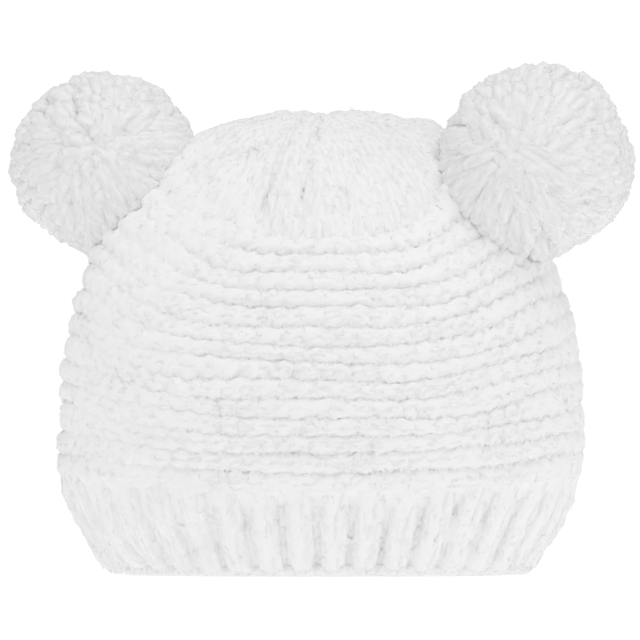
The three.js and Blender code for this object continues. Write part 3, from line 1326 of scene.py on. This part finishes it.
@dataclass
class Pompom:
    """A round plush pompom: cut ends of thick yarn that stand out from its middle.

    Its bulges lie at degrees round it, seen from the front, and are as high as they say where
    the ball is as far out as bulge_at.
    """

    node: str
    form: HatForm
    parting: tuple[float, float, float]
    seed: int
    calm: tuple[float, float, float] = (1.0, 0.0, 0.0)
    calm_from: float = 0.4
    calm_slope: float = 4.0
    patches: float = 0.7
    patch_scale: float = 5.0
    flattened: tuple[float, float, float] = (0.0, 0.0, 0.0)
    bulges: tuple[Bump, ...] = ()
    bulge_at: float = 35 * MM
    size: float = 0.965
    sag: float = 1.0 * MM
    yarn: Yarn = field(default_factory=lambda: Yarn(2.75 * MM, closed=False))
    strands: Strands = Strands()
    heart: Heart = Heart()
    fibres: int = 10000
    fuzz_seed: int = 20
    clearance: float = -2.4 * MM
    contact: float = 20 * MM
    contact_spread: float = 9 * MM
    bend_power: float = 1.5
    forward: tuple[float, float] = (0.45, 0.9)
    forward_range: tuple[float, float] = (0.2, 1.2)

    def middle_and_radius(self) -> tuple[Array, float]:
        """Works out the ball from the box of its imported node, which the hat dents inside.

        Returns:
            The middle and the radius.
        """
        low, high = (np.array(corner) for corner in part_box(self.node))
        radius = (high[1] - low[1]) / 2
        x = low[0] + radius if low[0] + high[0] < 0 else high[0] - radius
        middle = np.array([x, (low[1] + high[1]) / 2, high[2] - radius - self.sag])
        return middle, radius * self.size

    def build(self) -> list[bpy.types.Object]:
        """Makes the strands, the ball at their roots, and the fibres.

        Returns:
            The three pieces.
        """
        rng = np.random.default_rng(self.seed)
        strands = self.strands
        middle, radius = self.middle_and_radius()
        keep_out = HatSkin(self.form)
        parting = unit(np.array(self.parting))
        bends = np.linspace(0, 1, len(strands.steps)) ** self.bend_power
        paths, plumps = [], []
        for tip in self._tips(middle, radius, keep_out, rng):
            whorl = parting + strands.whorl * drift_at(tip * strands.whorl_scale, self.seed)
            whorl += rng.normal(0, strands.whorl_jitter, 3)
            path = middle + self._shape(self._strand(tip, unit(whorl), radius, rng))
            path = path + self._spread(path, middle, keep_out)
            path = keep_out.settle(path, bends, self.contact, self.clearance)
            paths.append(keep_out.push(path, self.clearance))
            plumps.append(np.array(strands.taper) * (1 + rng.normal(0, strands.plump)))
        pieces = [self.yarn.lay(f"{self.node}_strands", paths, plumps)]
        pieces.append(self._heart(middle, radius, keep_out))
        fuzz = Fuzz(seed=self.seed + self.fuzz_seed, count=self.fibres)
        pieces.append(fuzz.build(f"{self.node}_fuzz", pieces))
        return pieces

    def _tips(
        self, middle: Array, radius: float, keep_out: HatSkin, rng: np.random.Generator
    ) -> Array:
        """Gives the directions of the strands' ends, spread evenly but closer near the hat.

        Args:
            middle: The middle of the ball.
            radius: The radius of the ball.
            keep_out: The outside of the hat.
            rng: The source of the unevenness.

        Returns:
            The directions.
        """
        step = np.arange(self.strands.count)
        height = 1 - (2 * step + 1) / self.strands.count
        around = step * GOLDEN_TURN
        across = np.sqrt(1 - height**2)
        tips = np.stack([across * np.cos(around), across * np.sin(around), height], -1)
        heights = [abs(keep_out.height(middle + radius * tip)) for tip in tips]
        near = np.array(heights) < self.strands.skirt
        tips = np.concatenate([tips, tips[near], tips[near]])
        tips += rng.normal(0, self.strands.tip_jitter, tips.shape)
        return unit(tips)

    def _strand(self, tip: Array, parting: Array, radius: float, rng: np.random.Generator) -> Array:
        """Bends one strand outwards and away from the parting, with its neighbours.

        Args:
            tip: The direction of the strand's end.
            parting: The direction from which the strands fall away.
            radius: The radius of the ball.
            rng: The source of the unevenness.

        Returns:
            The points of the strand about the middle of the ball.
        """
        strands = self.strands
        steps = np.array(strands.steps)
        calm = self._calmness(tip)
        axis = np.cross(parting, tip)
        lean = np.linalg.norm(axis)
        side = np.cross(axis / max(lean, TINY), tip)
        splay = strands.splay * lean * (strands.splay_behind + tip.dot(parting))
        splay *= rng.uniform(*strands.splay_range) * min(1, strands.splay_behind + 2 * lean)
        turns = splay * (steps**strands.curl - 1)
        way = np.outer(np.cos(turns), tip) + np.outer(np.sin(turns), side)
        end = way[-1]
        rough = strands.rough * (1 + noise.noise(Vector(end * strands.rough_scale)))
        short = abs(rng.normal(0, strands.uneven)) + rough
        reach = radius * (1 - short * (1 - strands.calm_length * calm))
        climb = np.sin(steps * math.pi / 2) ** strands.climb
        rise = strands.root + (1 - strands.root) * climb
        tuft = drift_at(end * strands.tuft_scale, self.seed)
        bend = strands.tousle * (1 - strands.calm_tousle * calm) * tuft
        bend += rng.normal(0, strands.shake, 3)
        bend -= end * bend.dot(end)
        return way * (rise * reach)[:, None] + np.outer(steps**2, bend)

    def _shape(self, points: Array) -> Array:
        """Presses the ball in along one direction, and lets it bulge in some others.

        Args:
            points: Points about the middle of the ball.

        Returns:
            The same points on the shaped ball.
        """
        way = np.array(self.flattened)
        amount = max(np.linalg.norm(way), TINY)
        way = way / amount
        points = points - amount * np.outer(points @ way, way)
        reach = np.linalg.norm(points, axis=1)
        upright = (points[:, 0] ** 2 + points[:, 2] ** 2) / np.maximum(reach**2, TINY)
        around = np.arctan2(points[:, 2], points[:, 0])
        out = np.zeros(len(points))
        for bump in self.bulges:
            away = half_turned(around - math.radians(bump.middle))
            out += bump.size * bell(away, math.radians(bump.spread))
        return points * (1 + out * upright / self.bulge_at)[:, None]

    def _forward(self, way_y: Array) -> Array:
        """Gives how much the yarn spreads on to the hat, which it does most in front."""
        level, slope = self.forward
        return np.clip(level - slope * way_y, *self.forward_range)

    def _spread(self, path: Array, middle: Array, keep_out: HatSkin) -> Array:
        """Gives how far a strand spreads where the ball is pressed against the hat.

        Args:
            path: The points of the strand.
            middle: The middle of the ball.
            keep_out: The outside of the hat.

        Returns:
            How far, and which way, each point moves.
        """
        end = path[-1]
        near = np.clip(1 - keep_out.height(end) / self.contact, 0, 1)
        out = unit(end - middle)
        steps = np.linspace(0, 1, len(path)) ** 2
        return np.outer(steps, out) * near * self.contact_spread * self._forward(out[1])

    def _calmness(self, way: Array) -> float:
        """Gives how smoothly the pompom is brushed in a direction.

        Args:
            way: The direction from the middle of the ball.

        Returns:
            The smoothness, from 0 to 1.
        """
        facing = float(way @ unit(np.array(self.calm)))
        patches = self.patches * noise.noise(Vector(way * self.patch_scale + self.seed))
        return min(1.0, max(0.0, self.calm_slope * (facing - self.calm_from) + patches))

    def _heart(self, middle: Array, radius: float, keep_out: HatSkin) -> bpy.types.Object:
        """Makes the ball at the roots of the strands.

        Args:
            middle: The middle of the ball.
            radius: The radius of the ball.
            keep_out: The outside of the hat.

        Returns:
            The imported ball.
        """
        heart = self.heart
        size = radius * heart.share
        bpy.ops.mesh.primitive_ico_sphere_add(subdivisions=heart.divisions, radius=size)
        piece = bpy.context.object
        piece.name = piece.data.name = f"{self.node}_heart"
        points = np.empty(len(piece.data.vertices) * 3)
        piece.data.vertices.foreach_get("co", points)
        points = points.reshape(-1, 3)
        uneven = [noise.noise(Vector(point) * heart.lump_scale / MM) for point in points]
        ends = [noise.voronoi(Vector(point) / heart.end_size)[0][0] for point in points]
        calmed = [self._calmness(point) for point in points / size]
        grown = 1 + heart.calmed * np.array(calmed) + heart.lump * np.array(uneven)
        grown += heart.end_relief * (heart.end_middle - np.array(ends))
        points = self._shape(points * grown[:, None]) + middle
        away = unit(points - middle)
        heights = np.array([keep_out.height(point) for point in points])
        near = np.clip(1 - heights / self.contact, 0, 1) ** 2
        forward = self._forward(away[:, 1])
        points = points + (heart.foot * near * forward)[:, None] * away
        settling = heart.settling * np.minimum(heart.settling_forward * forward, 1)
        points = keep_out.settle(points, settling, heart.pressed, heart.clearance)
        points = keep_out.push(points, heart.clearance)
        piece.data.vertices.foreach_set("co", points.ravel())
        piece.data.shade_smooth()
        return piece


@dataclass
class Tie:
    """The two ends of yarn that hold a pompom through the knitting, knotted inside the hat."""

    node: str
    form: HatForm
    level: float
    degrees: float
    yarn: Yarn = field(default_factory=lambda: Yarn(1.15 * MM, closed=False))
    outer: float = 8.5 * MM
    twist: float = 7 * MM
    twist_steps: int = 28
    strand_gap: float = 1.05 * MM
    knot: float = -12.8 * MM
    knot_size: float = 1.0 * MM
    knot_rise: float = 1.5 * MM
    knot_steps: int = 41
    tail: float = 7.0 * MM
    tail_gap: float = 1.2 * MM
    tail_spread: float = 4.0 * MM
    tail_curl: float = 1.5 * MM
    tail_steps: int = 9

    def build(self) -> list[bpy.types.Object]:
        """Makes the two twisted strands, the knot and the tails.

        Returns:
            The tie, as one piece.
        """
        level, angle = np.array([self.level]), np.array([math.radians(self.degrees)])
        point = self.form.points(Zone.BODY, level, angle)[0]
        out = self.form.normals(Zone.BODY, level, angle)[0]
        side = unit(np.cross(out, (0, 1, 0)))
        axes = np.stack([side, np.cross(out, side), out])
        paths = [*self._strands(), self._knot(), *self._tails()]
        return [self.yarn.lay(f"{self.node}_yarn", [point + path @ axes for path in paths])]

    def _strands(self) -> list[Array]:
        """Gives the two strands, which twist round each other.

        Returns:
            Their points.
        """
        along = np.linspace(self.knot, self.outer, self.twist_steps)
        turns = [along / self.twist * TURN + start for start in (0, math.pi)]
        gap = self.strand_gap
        return [np.stack([gap * np.cos(turn), gap * np.sin(turn), along], -1) for turn in turns]

    def _knot(self) -> Array:
        """Gives the knot, which is pulled small.

        Returns:
            Its points.
        """
        turn = np.linspace(0, TURN, self.knot_steps)
        x = self.knot_size * (np.sin(turn) + 2 * np.sin(2 * turn))
        y = self.knot_size * (np.cos(turn) - 2 * np.cos(2 * turn))
        return np.stack([x, y, self.knot - self.knot_rise * np.sin(3 * turn)], -1)

    def _tails(self) -> list[Array]:
        """Gives the two cut ends under the knot.

        Returns:
            Their points.
        """
        share = np.linspace(0, 1, self.tail_steps)
        gap = self.tail_gap + self.tail_spread * share**2
        drop = self.knot - self.tail * share
        return [
            np.stack([way * gap, self.tail_curl * np.sin(2 * share + way), drop], -1)
            for way in (-1, 1)
        ]


class HatSkin:
    """The outside of the hat as a cloud of places, for what has to keep clear of it."""

    AROUND = 160
    ROWS = ((Zone.BODY, np.linspace(0.2, 1, 60)), (Zone.CROWN, np.linspace(0, 0.97, 24)))

    def __init__(self, form: HatForm) -> None:
        """Samples the body and the crown.

        Args:
            form: The form of the hat.
        """
        angle = np.arange(self.AROUND) / self.AROUND * TURN
        places, normals = [], []
        for zone, shares in self.ROWS:
            t_grid, angle_grid = np.meshgrid(shares, angle, indexing="ij")
            places.append(form.points(zone, t_grid, angle_grid).reshape(-1, 3))
            normals.append(form.normals(zone, t_grid, angle_grid).reshape(-1, 3))
        self.places = np.concatenate(places)
        self.normals = np.concatenate(normals)
        self.tree = KDTree(len(self.places))
        for i, place in enumerate(self.places):
            self.tree.insert(place, i)
        self.tree.balance()

    def above(self, point: Array) -> tuple[Array, float]:
        """Finds the place on the hat that is nearest to a point.

        Args:
            point: The point.

        Returns:
            The normal at that place, and how far the point stands outside it.
        """
        _, nearest, _ = self.tree.find(point)
        normal = self.normals[nearest]
        return normal, float((point - self.places[nearest]).dot(normal))

    def height(self, point: Array) -> float:
        """Gives how far a point stands outside the hat."""
        return self.above(point)[1]

    def settle(self, points: Array, bends: Array, reach: float, clearance: float) -> Array:
        """Draws the points near the hat down on to it, each by its own share.

        Args:
            points: The points.
            bends: The share of each point.
            reach: How far above the hat a point is still drawn down.
            clearance: The height to which it is drawn.

        Returns:
            The points, settled.
        """
        settled = points.copy()
        for i, point in enumerate(points):
            normal, height = self.above(point)
            if clearance < height < reach:
                drop = (height - clearance) * (1 - height / reach) * bends[i]
                settled[i] = point - normal * drop
        return settled

    def push(self, points: Array, clearance: float) -> Array:
        """Moves the points that are in the hat, or too near to it, out to a clearance.

        Args:
            points: The points.
            clearance: The least height above the hat.

        Returns:
            The points, with none of them lower.
        """
        pushed = points.copy()
        for i, point in enumerate(points):
            normal, height = self.above(point)
            if height < clearance:
                pushed[i] = point + normal * (clearance - height)
        return pushed


# ------------------------------------------------------------- the finishes


class Socket:
    """A value in a material's nodes, with the arithmetic that builds Math nodes."""

    def __init__(self, tree: bpy.types.NodeTree, socket: bpy.types.NodeSocket) -> None:
        """Wraps one output socket of a node tree."""
        self.tree = tree
        self.socket = socket

    def _math(self, operation: str, first: object, second: object) -> Socket:
        """Adds one Math node."""
        nodes = Nodes(self.tree)
        return nodes.add("ShaderNodeMath", {"operation": operation}, {0: first, 1: second})

    def __add__(self, other: object) -> Socket:
        """Adds."""
        return self._math("ADD", self, other)

    def __radd__(self, other: object) -> Socket:
        """Adds, with the value on the right."""
        return self._math("ADD", other, self)

    def __sub__(self, other: object) -> Socket:
        """Subtracts."""
        return self._math("SUBTRACT", self, other)

    def __rsub__(self, other: object) -> Socket:
        """Subtracts, with the value on the right."""
        return self._math("SUBTRACT", other, self)

    def __mul__(self, other: object) -> Socket:
        """Multiplies."""
        return self._math("MULTIPLY", self, other)

    def __rmul__(self, other: object) -> Socket:
        """Multiplies, with the value on the right."""
        return self._math("MULTIPLY", other, self)


class Nodes:
    """Adds nodes of any type to a material."""

    def __init__(self, tree: bpy.types.NodeTree) -> None:
        """Takes the tree to add to."""
        self.tree = tree

    def add(
        self, kind: str, settings: dict[str, object], values: dict[object, object],
        output: object = 0,
    ) -> Socket:
        """Adds a node.

        Args:
            kind: The node's type.
            settings: What is set on the node itself, before its sockets.
            values: What goes into its sockets, as values or links, by name or number.
            output: The output that is wanted.

        Returns:
            That output, wrapped.
        """
        node = self.tree.nodes.new(kind)
        for name, value in settings.items():
            if name == "stops":
                self._stops(node, value)
            else:
                setattr(node, name, value)
        for name, value in values.items():
            if isinstance(value, Socket):
                self.tree.links.new(value.socket, node.inputs[name])
            else:
                node.inputs[name].default_value = value
        return Socket(self.tree, node.outputs[output])

    @staticmethod
    def _stops(node: bpy.types.Node, stops: list[tuple[float, tuple[float, ...]]]) -> None:
        """Sets the stops of a colour ramp.

        Args:
            node: The colour ramp.
            stops: The place and the colour of each stop.
        """
        ramp = node.color_ramp
        while len(ramp.elements) < len(stops):
            ramp.elements.new(0.5)
        for element, (position, colour) in zip(ramp.elements, stops, strict=True):
            element.position = position
            element.color = colour


@dataclass(frozen=True)
class Grain:
    """An even grain in the yarn: how fine, how detailed and how rough it is."""

    scale: float
    detail: float
    roughness: float

    def add(self, nodes: Nodes, place: Socket) -> Socket:
        """Adds the grain to a material, at places on the object."""
        values = {"Scale": self.scale, "Detail": self.detail, "Roughness": self.roughness}
        return nodes.add("ShaderNodeTexNoise", {}, {"Vector": place, **values})


@dataclass(frozen=True)
class YarnFinish:
    """Brushed white yarn: soft plies that twist round each other under a fine fuzz. Its grey is
    darker where the plies and the soft grain sink, which is painted shade in the yarn's hollows,
    and varies at random with the broad grain.
    """

    name: str
    light: float
    shade: float
    turns: float
    soft: Grain = Grain(420.0, 4.0, 0.65)
    fine: Grain = Grain(1500.0, 3.0, 0.7)
    broad: Grain = Grain(60.0, 2.0, 0.5)
    plies: float = 3.0
    unsteady: float = 0.5
    ply: float = 0.35 * MM
    fuzz: float = 0.22 * MM
    matted: float = 2.2
    relief: float = 0.6
    # shares of the soft grain, the broad grain and the plies in the colour: the plies and the soft
    # grain paint shade into the yarn's hollows, the broad grain is a random tone
    tone_and_cavity_shade: tuple[float, float, float] = (0.5, 0.3, 0.25)
    shade_at: float = 0.3
    light_at: float = 0.62
    roughness: float = 0.92
    rubbed: float = 0.12
    sheen: float = 0.25
    sheen_roughness: float = 0.5
    specular: float = 0.25

    def make(self) -> bpy.types.Material:
        """Builds the material.

        Returns:
            The material.
        """
        material = bpy.data.materials.new(self.name)
        material.use_nodes = True
        tree = material.node_tree
        nodes = Nodes(tree)
        place = nodes.add("ShaderNodeTexCoord", {}, {}, "Object")
        strand = nodes.add("ShaderNodeUVMap", {"uv_map": "UVMap"}, {})
        along = nodes.add("ShaderNodeSeparateXYZ", {}, {0: strand}, "X")
        around = nodes.add("ShaderNodeSeparateXYZ", {}, {0: strand}, "Y")
        grains = (self.soft, self.fine, self.broad)
        soft, fine, broad = (grain.add(nodes, place) for grain in grains)
        twist = (along * self.turns + around * self.plies + soft * self.unsteady) * TURN
        plies = nodes.add("ShaderNodeMath", {"operation": "SINE"}, {0: twist}) * 0.5 + 0.5
        height = plies * self.ply + soft * self.fuzz * self.matted + fine * self.fuzz
        bump = nodes.add(
            "ShaderNodeBump", {}, {"Height": height, "Strength": self.relief, "Distance": 1.0},
            "Normal",
        )
        # painted shade: the colour ramp follows the plies and the soft grain that also shape the
        # bump, so the yarn is darker in its hollows; the broad grain only adds a random tone
        soft_share, broad_share, ply_share = self.tone_and_cavity_shade
        tone_and_cavity_shade = soft * soft_share + broad * broad_share + plies * ply_share
        stops = [(self.shade_at, grey(self.shade)), (self.light_at, grey(self.light))]
        colour = nodes.add("ShaderNodeValToRGB", {"stops": stops}, {"Fac": tone_and_cavity_shade})
        shader = tree.nodes["Principled BSDF"]
        tree.links.new(colour.socket, shader.inputs["Base Color"])
        tree.links.new(bump.socket, shader.inputs["Normal"])
        tree.links.new((self.roughness - fine * self.rubbed).socket, shader.inputs["Roughness"])
        shader.inputs["Sheen Weight"].default_value = self.sheen
        shader.inputs["Sheen Roughness"].default_value = self.sheen_roughness
        shader.inputs["Specular IOR Level"].default_value = self.specular
        return material


# ---------------------------------------------------------------- the stage


@dataclass(frozen=True)
class Lamp:
    """A square soft light."""

    name: str
    place: tuple[float, float, float]
    power: float
    size: float

    def hang(self, aimed_at: Vector) -> None:
        """Hangs the lamp so that it shines at a place.

        Args:
            aimed_at: The place.
        """
        lamp = bpy.data.lights.new(self.name, "AREA")
        lamp.energy = self.power
        lamp.size = self.size
        light = bpy.data.objects.new(self.name, lamp)
        light.location = self.place
        aim = aimed_at - Vector(self.place)
        light.rotation_euler = aim.to_track_quat("-Z", "Y").to_euler()
        bpy.context.scene.collection.objects.link(light)


@dataclass
class Studio:
    """A white sweep under even soft light, and a long lens level with the hat."""

    low: Vector
    high: Vector
    share_of_width: float = 0.983
    centre_height: float = 0.497
    lens: float = 600.0
    sensor: float = 36.0
    lift: float = -0.5
    surround: float = 0.66
    backdrop: float = 1.05
    aimed_at: tuple[float, float, float] = (0.0, 0.0, 0.09)
    floor_size: float = 6.0
    floor_drop: float = 0.2 * MM
    floor_grey: float = 0.32
    floor_glow: float = 0.79
    floor_light: float = 0.72
    lamps: tuple[Lamp, ...] = (
        Lamp("top", (0.0, -0.5, 1.6), power=6.9, size=1.4),
        Lamp("right", (1.3, -0.7, 0.45), power=1.15, size=0.8),
        Lamp("left", (-1.3, -0.5, 0.6), power=0.23, size=0.8),
    )

    def build(self) -> None:
        """Sets the floor, the lights and the camera."""
        self._floor()
        self._surround()
        for lamp in self.lamps:
            lamp.hang(Vector(self.aimed_at))
        self._camera()
        bpy.context.scene.view_settings.view_transform = "Standard"

    def _floor(self) -> None:
        """Lays the pale floor, which looks a little brighter than the light that it gives."""
        bpy.ops.mesh.primitive_plane_add(size=self.floor_size, location=(0, 0, -self.floor_drop))
        floor = bpy.context.object
        floor.name = floor.data.name = "floor"
        material = bpy.data.materials.new("pale_floor")
        material.use_nodes = True
        tree = material.node_tree
        tree.nodes.remove(tree.nodes["Principled BSDF"])
        nodes = Nodes(tree)
        seen = nodes.add("ShaderNodeLightPath", {}, {}, "Is Camera Ray")
        light, glow = (self._glowing(nodes, glow) for glow in (self.floor_light, self.floor_glow))
        mix = nodes.add("ShaderNodeMixShader", {}, {0: seen, 1: light, 2: glow})
        tree.links.new(mix.socket, tree.nodes["Material Output"].inputs["Surface"])
        floor.data.materials.append(material)
        floor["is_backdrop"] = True

    def _glowing(self, nodes: Nodes, glow: float) -> Socket:
        """Adds a matt grey surface that gives off white light.

        Args:
            nodes: The nodes of the floor's material.
            glow: How strongly it glows.

        Returns:
            The surface.
        """
        values = {
            "Base Color": grey(self.floor_grey), "Roughness": 1.0, "Specular IOR Level": 0.0,
            "Emission Color": grey(1), "Emission Strength": glow,
        }
        return nodes.add("ShaderNodeBsdfPrincipled", {}, values)

    def _surround(self) -> None:
        """Surrounds the hat with even white light, before a backdrop that looks brighter."""
        world = bpy.data.worlds.new("white_surround")
        world.use_nodes = True
        tree = world.node_tree
        nodes = Nodes(tree)
        seen = nodes.add("ShaderNodeLightPath", {}, {}, "Is Camera Ray")
        ends = {"To Min": self.surround, "To Max": self.backdrop}
        strength = nodes.add("ShaderNodeMapRange", {}, {"Value": seen, **ends}, "Result")
        background = tree.nodes["Background"]
        background.inputs["Color"].default_value = grey(1)
        tree.links.new(strength.socket, background.inputs["Strength"])
        bpy.context.scene.world = world

    def _camera(self) -> None:
        """Sets the camera so that the hat fills the width of a square frame."""
        width = (self.high.x - self.low.x) / self.share_of_width
        distance = self.lens / self.sensor * width
        middle = Vector(((self.low.x + self.high.x) / 2, 0, self.high.z * self.centre_height))
        tilt = math.radians(self.lift)
        camera_data = bpy.data.cameras.new("camera")
        camera_data.lens = self.lens
        camera_data.sensor_width = self.sensor
        camera = bpy.data.objects.new("camera", camera_data)
        camera.location = middle + distance * Vector((0, -math.cos(tilt), math.sin(tilt)))
        camera.rotation_euler = (math.pi / 2 - tilt, 0, 0)
        bpy.context.scene.collection.objects.link(camera)
        bpy.context.scene.camera = camera


# ------------------------------------------------------------- the assembly


@dataclass
class Hat:
    """The whole hat: what is built, what it stands for and how it is dressed."""

    form: HatForm
    knitted: bpy.types.Material
    plush: bpy.types.Material

    def build(self) -> None:
        """Builds every piece, dresses it and hides the node that it stands in for."""
        pompoms = self._pompoms()
        balls = tuple(pompom.middle_and_radius() for pompom in pompoms)
        core = Core(self.form)
        brim_wall = Wall(Zone.BRIM, low=0.06, high=1.0, steps=12, finer=2)
        body_wall = Wall(Zone.BODY, low=0.0, high=1.0, steps=108)
        crown_wall = Wall(Zone.CROWN, low=-0.008, high=0.99, steps=30)
        brim, body = RibbedBrim(self.form), GarterBody(self.form, balls=balls)
        crown = GatheredCrown(self.form, ball=balls[1])
        for node, knitting, wall, fuzz in (
            ("ribbed_brim", brim, brim_wall, Fuzz(seed=30, count=8000)),
            ("garter_body", body, body_wall, Fuzz(seed=31, count=22000)),
            ("gathered_crown", crown, crown_wall, Fuzz(seed=32, count=7000)),
        ):
            pieces = [*knitting.build(), core.build(wall, knitting.felt)]
            pieces.append(fuzz.build(f"{wall.zone.value}_fuzz", pieces))
            self._dress(node, pieces, self.knitted)
        for pompom in pompoms:
            self._dress(pompom.node, pompom.build(), self.plush)
        for tie in (
            Tie("left_tie", self.form, level=0.88, degrees=174),
            Tie("right_tie", self.form, level=0.885, degrees=-12),
        ):
            self._dress(tie.node, tie.build(), self.knitted)

    def _pompoms(self) -> list[Pompom]:
        """Gives the two pompoms as they lie, each with its own parting and its own dents.

        Returns:
            The left pompom and the right pompom.
        """
        left_bulges = (
            Bump(38, 24, 1.9 * MM), Bump(-70, 25, -1.6 * MM), Bump(-130, 24, -1.6 * MM),
        )
        right_bulges = (
            Bump(70, 30, 0.7 * MM), Bump(24, 24, -2.2 * MM), Bump(-40, 30, -0.4 * MM),
            Bump(140, 24, 1.8 * MM),
        )
        return [
            Pompom("left_pompom", self.form, parting=(0.05, -1.0, 0.1), seed=20,
                   calm=(0.62, -0.45, -0.64), flattened=(-0.057, 0, 0.057), bulges=left_bulges),
            Pompom("right_pompom", self.form, parting=(-0.3, -0.9, 0.0), seed=21,
                   calm=(0.84, -0.5, -0.15), flattened=(0.016, 0, 0.012), bulges=right_bulges),
        ]

    def _dress(
        self, node: str, pieces: list[bpy.types.Object], finish: bpy.types.Material
    ) -> None:
        """Gives the pieces of one node their finish, and lets them stand for it.

        Args:
            node: The name of the node that they replace.
            pieces: The pieces.
            finish: Their material.
        """
        for piece in pieces:
            piece.data.materials.clear()
            piece.data.materials.append(finish)
            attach(piece, "root")
            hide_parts(node)
            LOG.info("%s: %d faces", piece.name, len(piece.data.polygons))


def main() -> None:
    """Builds the hat in order and reports each piece."""
    logging.basicConfig(level=logging.INFO, format="%(name)s: %(message)s")
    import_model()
    low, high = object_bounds()
    Studio(Vector(low), Vector(high)).build()
    knitted = YarnFinish("brushed_white_yarn", light=0.965, shade=0.93, turns=260.0)
    # The plush is a darker copy of the knitted white yarn: partly the pompoms' own tone, partly
    # painted shade for the shade among their strands.
    plush = YarnFinish("plush_white_yarn", light=0.93, shade=0.86, turns=3.0)
    Hat(HatForm.from_frame(), knitted.make(), plush.make()).build()


if __name__ == "__main__":
    main()
